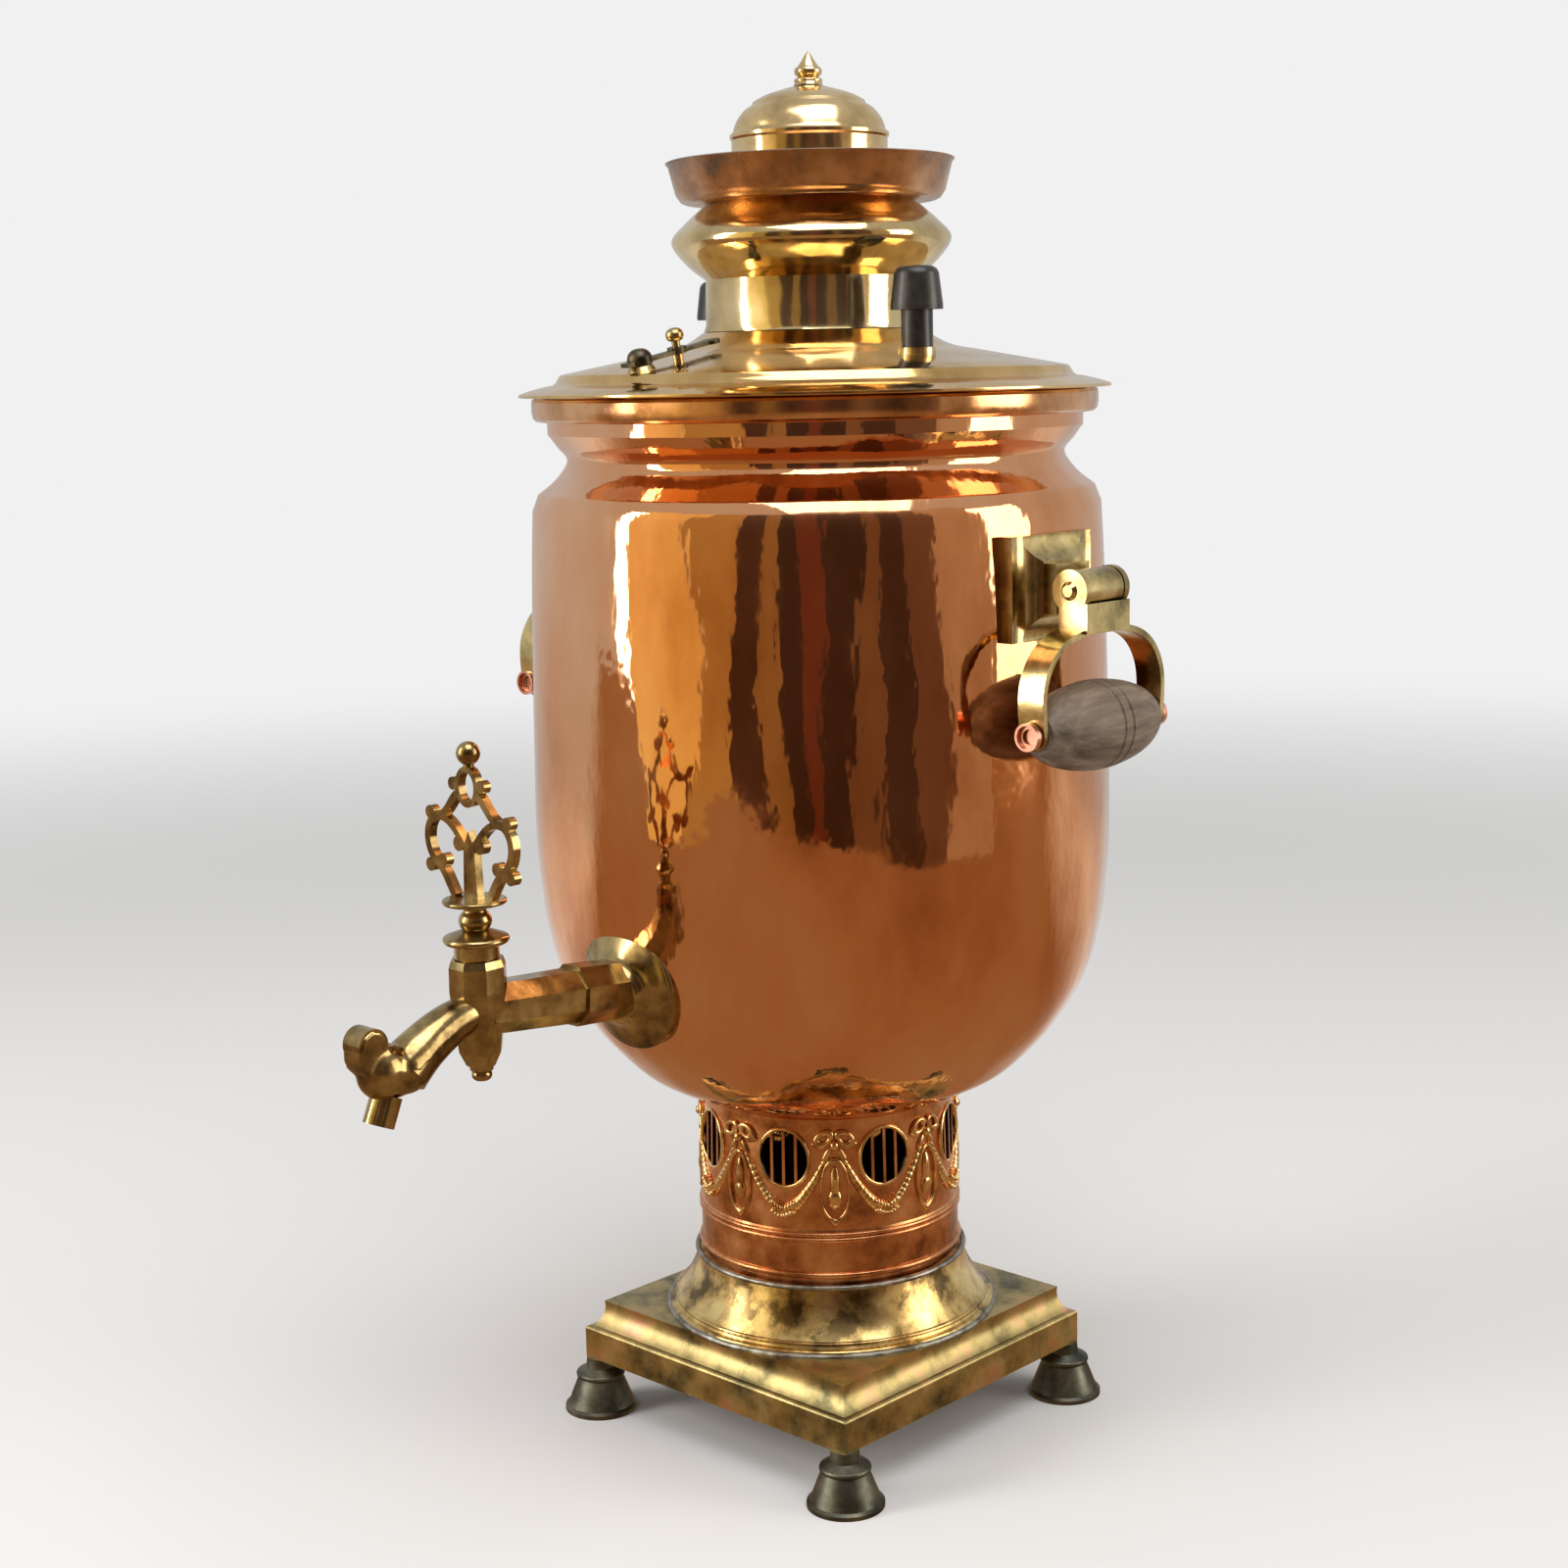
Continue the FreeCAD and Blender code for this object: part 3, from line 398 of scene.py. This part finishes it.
bodyShell = {
    "hole": 40.0,
    "bowl": [(49.5, 131.5), (58.5, 135.0), (68.6, 140.0), (74.7, 144.2), (82.7, 152.1), (90.7, 161.6),
             (98.2, 173.9), (102.6, 184.9), (105.3, 196.0), (107.2, 207.0), (109.1, 231.0), (108.9, 262.0),
             (108.2, 300.0), (107.2, 334.0), (106.1, 356.0)],
    "shoulder": [(103.8, 361.9), (97.2, 367.2), (92.6, 374.2), (96.0, 379.2), (99.5, 384.0)],
    "top": (99.7, 396.4),
    "wall": 1.4,
}
outside = smoothLine(bodyShell["bowl"], steps=4) + smoothLine(bodyShell["shoulder"], steps=4)
outside.append(bodyShell["top"])
inside = insetLine(outside, bodyShell["wall"])
inside[-1] = (bodyShell["top"][0] - bodyShell["wall"], bodyShell["top"][1])
inside.reverse()
bodyProfile = [(bodyShell["hole"], bodyShell["bowl"][0][1])] + outside + inside
bodyProfile.append((bodyShell["hole"], inside[-1][1]))
bodyPiece = finishPiece(lathe(bodyProfile, turns=192), "bodyShellTurned", "boiler",
                        finishes["bodyCopper"])
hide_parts("body_shell")

bodyRim = {
    "profile": [(99.7, 388.6), (102.0, 388.6), (103.6, 388.9), (104.6, 389.8), (105.1, 392.2),
                (105.1, 395.6), (104.9, 396.5), (104.5, 397.0), (103.5, 397.2), (101.4, 397.2),
                (100.6, 399.4), (98.3, 399.9), (98.3, 396.4), (99.7, 396.4)],
}
rimPiece = finishPiece(lathe(bodyRim["profile"]), "bodyRimTurned", "boiler",
                       finishes["rimCopper"])
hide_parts("body_rim")
print("stage: body and rim turned")


# Lid, crown and cap

lidPlate = {
    "edge": [(109.2, 397.5), (109.7, 397.7), (109.8, 398.1), (109.7, 398.6), (109.2, 398.8)],
    "slope": [(109.2, 398.8), (105.0, 400.2), (99.1, 401.6)],
    "step": [(97.2, 401.8), (96.0, 402.6), (95.0, 404.2), (94.6, 404.9), (94.2, 405.4), (93.4, 405.7)],
    "cone": [(82.0, 407.9), (71.0, 410.0), (60.0, 412.1)],
    "throat": [(60.0, 412.1), (52.2, 413.6), (46.0, 416.4), (41.0, 419.7)],
    "wall": 1.2,
    "lip": [(28.0, 419.7), (28.0, 418.5)],
    "under": [(60.0, 410.9), (92.8, 404.4), (93.4, 403.6), (97.5, 400.4), (104.0, 399.0), (107.0, 397.5)],
}
throat = smoothLine(lidPlate["throat"])
lidTop = lidPlate["edge"] + smoothLine(lidPlate["slope"], steps=4)
lidTop += lidPlate["step"] + lidPlate["cone"] + throat
lidUnder = insetLine(throat, lidPlate["wall"])
lidUnder.reverse()
lidProfile = lidTop + lidPlate["lip"] + lidUnder[:-1] + lidPlate["under"]
lidPiece = finishPiece(lathe(lidProfile, turns=192), "lidPlateTurned", "lid",
                       finishes["lidBrass"], sharp=28.0)
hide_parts("lid_plate")

crownSkirt = {
    "foot": [(38.4, 420.0), (40.5, 420.0), (39.6, 422.4)],
    "bulge": [(39.3, 438.8), (46.6, 444.8), (51.6, 452.6), (46.5, 459.2), (38.4, 466.2)],
    "wall": 1.2,
    "mouth": (36.8, 466.2),
}
bulge = smoothLine(crownSkirt["bulge"], steps=8)
bulgeInside = insetLine(bulge, crownSkirt["wall"])
bulgeInside[-1] = crownSkirt["mouth"]
bulgeInside.reverse()
skirtProfile = crownSkirt["foot"] + bulge + bulgeInside
crownPiece = finishPiece(lathe(skirtProfile, turns=160), "crownSkirtTurned", "crown",
                         finishes["crownBrass"])
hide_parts("crown_skirt")

crownGallery = {
    "profile": [(27.8, 466.2), (44.6, 466.2), (46.4, 466.4), (47.8, 467.0), (49.6, 469.6), (52.2, 479.7),
                (53.0, 480.5), (53.1, 480.9), (52.1, 481.3), (51.0, 480.3), (48.0, 470.2), (47.3, 468.7),
                (46.4, 467.9), (44.4, 467.5), (29.4, 467.5), (29.4, 468.3), (27.8, 468.3)],
}
galleryPiece = finishPiece(lathe(crownGallery["profile"], turns=160), "crownGalleryTurned", "crown",
                           finishes["galleryCopper"])
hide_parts("crown_gallery")

chimneyCap = {
    "side": [(27.4, 468.6), (28.6, 468.6), (28.6, 488.6), (29.2, 489.4), (29.2, 490.6), (28.2, 491.4)],
    "lower": [(28.0, 491.8), (26.6, 495.6), (23.8, 499.2), (21.0, 501.0)],
    "upper": [(20.4, 502.2), (16.8, 504.2), (12.0, 505.8), (5.6, 507.6)],
    "tip": [(0.2, 508.0), (0.2, 506.4)],
    "inside": [(5.6, 506.0), (13.0, 504.0), (19.4, 501.0), (24.0, 497.4), (26.4, 493.0), (27.4, 489.0)],
}
dome = smoothLine(chimneyCap["lower"], steps=4) + smoothLine(chimneyCap["upper"], steps=4)
capProfile = chimneyCap["side"] + dome + chimneyCap["tip"] + chimneyCap["inside"]
capPiece = finishPiece(lathe(capProfile, turns=128), "chimneyCapTurned", "cap",
                       finishes["capBrass"])
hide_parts("chimney_cap")
print("stage: lid, crown and cap turned")


# Cast ornament round the neck, in millimetres and degrees
# "out" is how far a lump's middle stands off the neck's radius

neckOrnament = {"radius": 49.6, "count": 8, "firstWindow": 22.5}
windowRim = {"out": -0.6, "height": 115.6, "half": (10.0, 11.2), "thick": 0.8}
swag = {
    "low": 95.4, "high": 119.5, "sag": 1.7,
    "halfTurn": 20.6, "lumps": 14, "lumpsToPost": 14.8,  # lumps are counted from the middle
    "out": -0.3, "half": (1.6, 2.9, 1.75),
    "full": 1.60, "thinning": 1.0,
    "slope": 2.3, "slopeBend": 0.7,
    "leafLumps": 3, "leafOut": 1.6, "leafTilt": 40,
    "leaves": [(1, 1.5, (1.3, 1.6, 0.9)), (-1, -1.5, (1.3, 1.5, 0.9))],
}
bow = {
    "knot": {"out": 0.4, "height": 121.4, "half": (1.9, 1.8, 1.9)},
    "loop": {"turn": 4.6, "out": 0.2, "height": 124.0, "half": (3.0, 2.0), "thick": 0.9, "tilt": -34},
    "ends": [{"turn": 3.4, "out": 0.1, "height": 117.8, "half": (0.9, 1.0, 3.4), "tilt": 30},
             {"turn": 7.2, "out": 0.1, "height": 121.2, "half": (0.9, 2.6, 1.0), "tilt": 20}],
}
pendant = {
    "hoop": {"height": 103.8, "half": (5.3, 11.8), "thick": 1.15},
    "drops": [{"out": 0.1, "height": 105.4, "half": (1.3, 1.9, 8.0)},
              {"out": 0.1, "height": 100.6, "half": (1.6, 2.7, 4.0)},
              {"out": 0.2, "height": 91.6, "half": (1.2, 1.7, 1.5)}],
}
spacing = 360.0 / neckOrnament["count"]
base = neckOrnament["radius"]
rims = []
swags = []
bows = []
pendants = []
for k in range(neckOrnament["count"]):
    window = neckOrnament["firstWindow"] + spacing * k
    post = spacing * k
    rims.append(hoop(window, base + windowRim["out"], windowRim["height"], windowRim["half"],
                     windowRim["thick"]))

    # Garland that hangs under the window, thick in the middle and leafy there
    for i in range(-swag["lumps"], swag["lumps"] + 1):
        along = i / swag["lumpsToPost"]
        side = 1 if i > 0 else -1
        turn = window + swag["halfTurn"] * along
        height = swag["low"] + (swag["high"] - swag["low"]) * abs(along) ** swag["sag"]
        full = swag["full"] - swag["thinning"] * abs(along)
        lean = side * math.degrees(math.atan(swag["slope"] * abs(along) ** swag["slopeBend"]))
        outwards, sideways, upwards = swag["half"]
        half = (outwards * full, sideways, upwards * full)
        swags.append(blob(turn, base + swag["out"], height, half, lean))
        if abs(i) <= swag["leafLumps"]:
            for way, rise, leafHalf in swag["leaves"]:
                tilt = lean + way * swag["leafTilt"] * side
                swags.append(blob(turn, base + swag["leafOut"], height + rise, leafHalf, tilt))

    # Bow between two windows, with the pendant under it
    knot = bow["knot"]
    loop = bow["loop"]
    bows.append(blob(post, base + knot["out"], knot["height"], knot["half"]))
    for side in (-1, 1):
        bows.append(hoop(post + side * loop["turn"], base + loop["out"], loop["height"], loop["half"],
                         loop["thick"], side * loop["tilt"]))
        for end in bow["ends"]:
            bows.append(blob(post + side * end["turn"], base + end["out"], end["height"], end["half"],
                             side * end["tilt"]))
    frameHoop = pendant["hoop"]
    pendants.append(hoop(post, base, frameHoop["height"], frameHoop["half"], frameHoop["thick"]))
    for drop in pendant["drops"]:
        pendants.append(blob(post, base + drop["out"], drop["height"], drop["half"]))

ornaments = (("windowRims", rims), ("neckGarlands", swags), ("neckBows", bows), ("neckPendants", pendants))
for name, parts in ornaments:
    finishPiece(gather(parts), name, "boiler", finishes["ornament"], sharp=60.0)
print("stage: neck ornament placed")

# Radius, height and half thickness of each seam
solderSeam = {"rings": [(63.6, 44.0, 1.5), (52.2, 66.5, 1.1)]}
seams = []
for ringRadius, height, thick in solderSeam["rings"]:
    deselect()
    bpy.ops.mesh.primitive_torus_add(major_segments=144, minor_segments=10, major_radius=ringRadius * mm,
                                     minor_radius=thick * mm, location=(0, 0, height * mm))
    seams.append(bpy.context.object)
finishPiece(gather(seams), "solderSeams", "boiler", finishes["solder"], sharp=60.0)
print("stage: solder seams placed")


# Smooth cast spout over the plain one of the tap, in millimetres

spoutCurl = {"place": (0, -219.3, 191.6), "half": (4.9, 5.9, 8.0)}
deselect()
bpy.ops.mesh.primitive_cylinder_add(vertices=64, radius=1.0, depth=2.0)
curl = bpy.context.object
curl.rotation_euler = (0, math.pi / 2, 0)
applyPlace()
curl.scale = [v * mm for v in spoutCurl["half"]]
curl.location = [v * mm for v in spoutCurl["place"]]
applyPlace()

spoutHorn = {
    "route": [(-179.0, 195.3), (-184.5, 194.0), (-191.0, 191.2), (-198.0, 187.4), (-204.5, 183.4)],
    "thin": 6.6, "thick": 8.9,
    "lumps": [((0, -208.5, 183.2), (8.0, 8.4, 9.0)), ((0, -212.6, 183.8), (7.9, 9.9, 9.5)),
              ((0, -217.0, 189.4), (5.0, 4.4, 6.4)), ((0, -218.4, 192.0), (4.6, 4.6, 5.0))],
    "grain": 0.7, "smoothing": 6,
}
hornLine = smoothLine(spoutHorn["route"])
hornParts = [curl]
for count, (y, z) in enumerate(hornLine):
    size = spoutHorn["thin"] + (spoutHorn["thick"] - spoutHorn["thin"]) * count / (len(hornLine) - 1)
    hornParts.append(lump((0, y, z), (size, size, size)))
hornParts += [lump(place, half) for place, half in spoutHorn["lumps"]]
horn = gather(hornParts)
applyPlace()
bpy.ops.object.modifier_add(type="REMESH")
horn.modifiers[-1].mode = "VOXEL"
horn.modifiers[-1].voxel_size = spoutHorn["grain"] * mm
bpy.ops.object.modifier_apply(modifier=horn.modifiers[-1].name)
bpy.ops.object.modifier_add(type="SMOOTH")
horn.modifiers[-1].iterations = spoutHorn["smoothing"]
bpy.ops.object.modifier_apply(modifier=horn.modifiers[-1].name)
finishPiece(horn, "spoutHorn", "boiler", finishes["tapBrass"], sharp=80.0)
print("stage: spout cast")


# Floor that fades out

floorLook = {
    "radius": 3.0, "colour": (0.62, 0.62, 0.62, 1.0), "rough": 0.9, "shine": 0.1,
    "fadeFrom": 0.9, "fadeTo": 2.4,
    "reflected": (0.34, 0.20, 0.10, 1.0),  # what the metal mirrors of the floor towards the camera
    "reflectedFrom": -0.4, "reflectedTo": -0.1,  # metres in front of the axis, so both lie behind it
}


def makeFloorFinish(look):
    material = bpy.data.materials.new("stageFloor")
    material.use_nodes = True
    tree = material.node_tree
    shader = tree.nodes["Principled BSDF"]
    shader.inputs["Base Color"].default_value = look["colour"]
    shader.inputs["Roughness"].default_value = look["rough"]
    shader.inputs["Specular IOR Level"].default_value = look["shine"]
    coords = addNode(tree, "TexCoord")
    away = addNode(tree, "VectorMath", operation="LENGTH")
    link(tree, coords.outputs["Object"], away.inputs[0])
    fade = addNode(tree, "MapRange", {"From Min": look["fadeFrom"], "From Max": look["fadeTo"]},
                   interpolation_type="SMOOTHSTEP")
    link(tree, away.outputs["Value"], fade.inputs["Value"])
    clear = addNode(tree, "BsdfTransparent")
    faded = addNode(tree, "MixShader")
    link(tree, fade.outputs["Result"], faded.inputs[0])
    link(tree, shader.outputs["BSDF"], faded.inputs[1])
    link(tree, clear.outputs["BSDF"], faded.inputs[2])

    # Brown for reflections only, and only on the camera's side
    forwards = addNode(tree, "VectorMath", {1: fromCamera(0.0, 1.0, 0.0)}, operation="DOT_PRODUCT")
    link(tree, coords.outputs["Object"], forwards.inputs[0])
    near = addNode(tree, "MapRange", {"From Min": look["reflectedFrom"], "From Max": look["reflectedTo"]})
    link(tree, forwards.outputs["Value"], near.inputs["Value"])
    rays = addNode(tree, "LightPath")
    share = addNode(tree, "Math", operation="MULTIPLY")
    link(tree, rays.outputs["Is Glossy Ray"], share.inputs[0])
    link(tree, near.outputs["Result"], share.inputs[1])
    tint = addNode(tree, "Emission", {"Color": look["reflected"]})
    seen = addNode(tree, "MixShader")
    link(tree, share.outputs["Value"], seen.inputs[0])
    link(tree, faded.outputs["Shader"], seen.inputs[1])
    link(tree, tint.outputs["Emission"], seen.inputs[2])
    link(tree, seen.outputs["Shader"], tree.nodes["Material Output"].inputs["Surface"])
    return material


deselect()
bpy.ops.mesh.primitive_circle_add(vertices=96, radius=floorLook["radius"], fill_type="NGON")
floor = bpy.context.object
floor.name = "stageFloor"
floor.data.materials.append(makeFloorFinish(floorLook))


# Upright strips that only show in reflections

reflectedStrips = {
    "distance": 1.5, "height": 0.75, "tall": 1.5,
    # Degrees to the right of the camera, degrees wide, and colour
    "strips": [(-62.0, 24.0, (0.80, 0.60, 0.20)), (-42.0, 16.0, (0.42, 0.28, 0.08)),
               (-28.0, 12.0, (0.05, 0.02, 0.01)), (-18.0, 8.0, (0.26, 0.16, 0.05)),
               (-9.0, 10.0, (0.03, 0.012, 0.006)), (0.0, 8.0, (0.12, 0.03, 0.012)),
               (9.0, 10.0, (0.03, 0.012, 0.006)), (18.0, 8.0, (0.16, 0.09, 0.04)),
               (29.0, 14.0, (0.04, 0.018, 0.01)), (42.0, 12.0, (0.13, 0.07, 0.04)),
               (56.0, 16.0, (0.42, 0.32, 0.22))],
}


def placeStrip(name, place, size, colour):
    deselect()
    bpy.ops.mesh.primitive_plane_add(size=1.0, location=place)
    sheet = bpy.context.object
    sheet.name = name
    sheet.scale = (size[0], size[1], 1.0)
    toObject = Vector((-place.x, -place.y, 0.0))
    sheet.rotation_euler = toObject.to_track_quat("Z", "Y").to_euler()
    glow = bpy.data.materials.new(name)
    glow.use_nodes = True
    shader = glow.node_tree.nodes["Principled BSDF"]
    shader.inputs["Base Color"].default_value = (0.0, 0.0, 0.0, 1.0)
    shader.inputs["Emission Color"].default_value = colour + (1.0,)
    shader.inputs["Emission Strength"].default_value = 1.0
    sheet.data.materials.append(glow)
    sheet.visible_camera = False
    sheet.visible_diffuse = False
    sheet.visible_shadow = False


stripDistance = reflectedStrips["distance"]
for count, (turn, wide, colour) in enumerate(reflectedStrips["strips"]):
    place = fromCamera(turn, stripDistance, reflectedStrips["height"])
    size = (stripDistance * math.radians(wide), reflectedStrips["tall"])
    placeStrip("reflected" + str(count), place, size, colour)


# Lamps and the light all round

lamps = {
    "lightLeft": {"turn": -72.0, "distance": 1.7, "height": 0.75, "size": (0.55, 1.3),
                  "power": 26.0, "colour": (1.0, 0.96, 0.92), "aim": 0.25},
    "lightRight": {"turn": 78.0, "distance": 1.9, "height": 0.7, "size": (0.9, 1.4),
                   "power": 16.0, "colour": (1.0, 0.94, 0.82), "aim": 0.25},
    "lightTop": {"turn": 20.0, "distance": 0.7, "height": 1.9, "size": (1.4, 1.4),
                 "power": 24.0, "colour": (1.0, 1.0, 1.0), "aim": 0.2},
}
for name, look in lamps.items():
    deselect()
    place = fromCamera(look["turn"], look["distance"], look["height"])
    bpy.ops.object.light_add(type="AREA", location=place)
    lamp = bpy.context.object
    lamp.name = name
    lamp.data.shape = "RECTANGLE"
    lamp.data.size, lamp.data.size_y = look["size"]
    lamp.data.energy = look["power"]
    lamp.data.color = look["colour"]
    lamp.rotation_euler = (Vector((0, 0, look["aim"])) - place).to_track_quat("-Z", "Y").to_euler()

surroundings = {"light": (0.55, 0.55, 0.55, 1.0), "background": (0.88, 0.88, 0.88, 1.0)}
world = bpy.data.worlds.new("studio")
bpy.context.scene.world = world
world.use_nodes = True
sky = world.node_tree
lit = sky.nodes["Background"]
lit.inputs["Color"].default_value = surroundings["light"]
lit.inputs["Strength"].default_value = 1.0
behind = addNode(sky, "Background", {"Color": surroundings["background"]})
rays = addNode(sky, "LightPath")
skyMix = addNode(sky, "MixShader")
link(sky, rays.outputs["Is Camera Ray"], skyMix.inputs[0])
link(sky, lit.outputs["Background"], skyMix.inputs[1])
link(sky, behind.outputs["Background"], skyMix.inputs[2])
link(sky, skyMix.outputs["Shader"], sky.nodes["World Output"].inputs["Surface"])


# Camera as the photograph was taken: lens and sensor in millimetres, angles in degrees, the rest in metres

cameraFit = {"lens": 56.12, "sensor": 36.0, "pitch": 9.685, "roll": 1.2518, "yaw": -0.8974,
             "distance": 0.92239, "height": 0.40690}
turnAngle = math.radians(viewTurn)
sideways = Vector((math.cos(turnAngle), math.sin(turnAngle), 0))
ahead = Vector((-math.sin(turnAngle), math.cos(turnAngle), 0))
upwards = Vector((0, 0, 1))
yaw = math.radians(cameraFit["yaw"])
pitch = math.radians(cameraFit["pitch"])
roll = math.radians(cameraFit["roll"])
level = sideways * math.sin(yaw) + ahead * math.cos(yaw)
right = sideways * math.cos(yaw) - ahead * math.sin(yaw)
forward = level * math.cos(pitch) - upwards * math.sin(pitch)
above = level * math.sin(pitch) + upwards * math.cos(pitch)
imageRight = right * math.cos(roll) - above * math.sin(roll)
imageUp = right * math.sin(roll) + above * math.cos(roll)
spot = ahead * -cameraFit["distance"] + upwards * cameraFit["height"]
deselect()
bpy.ops.object.camera_add()
camera = bpy.context.object
camera.data.lens = cameraFit["lens"]
camera.data.sensor_width = cameraFit["sensor"]
camera.data.dof.use_dof = False
pose = Matrix((imageRight, imageUp, -forward)).transposed().to_4x4()
pose.translation = spot
camera.matrix_world = pose
bpy.context.scene.camera = camera
bpy.context.scene.view_settings.view_transform = "Standard"
print("stage: lights and camera set")
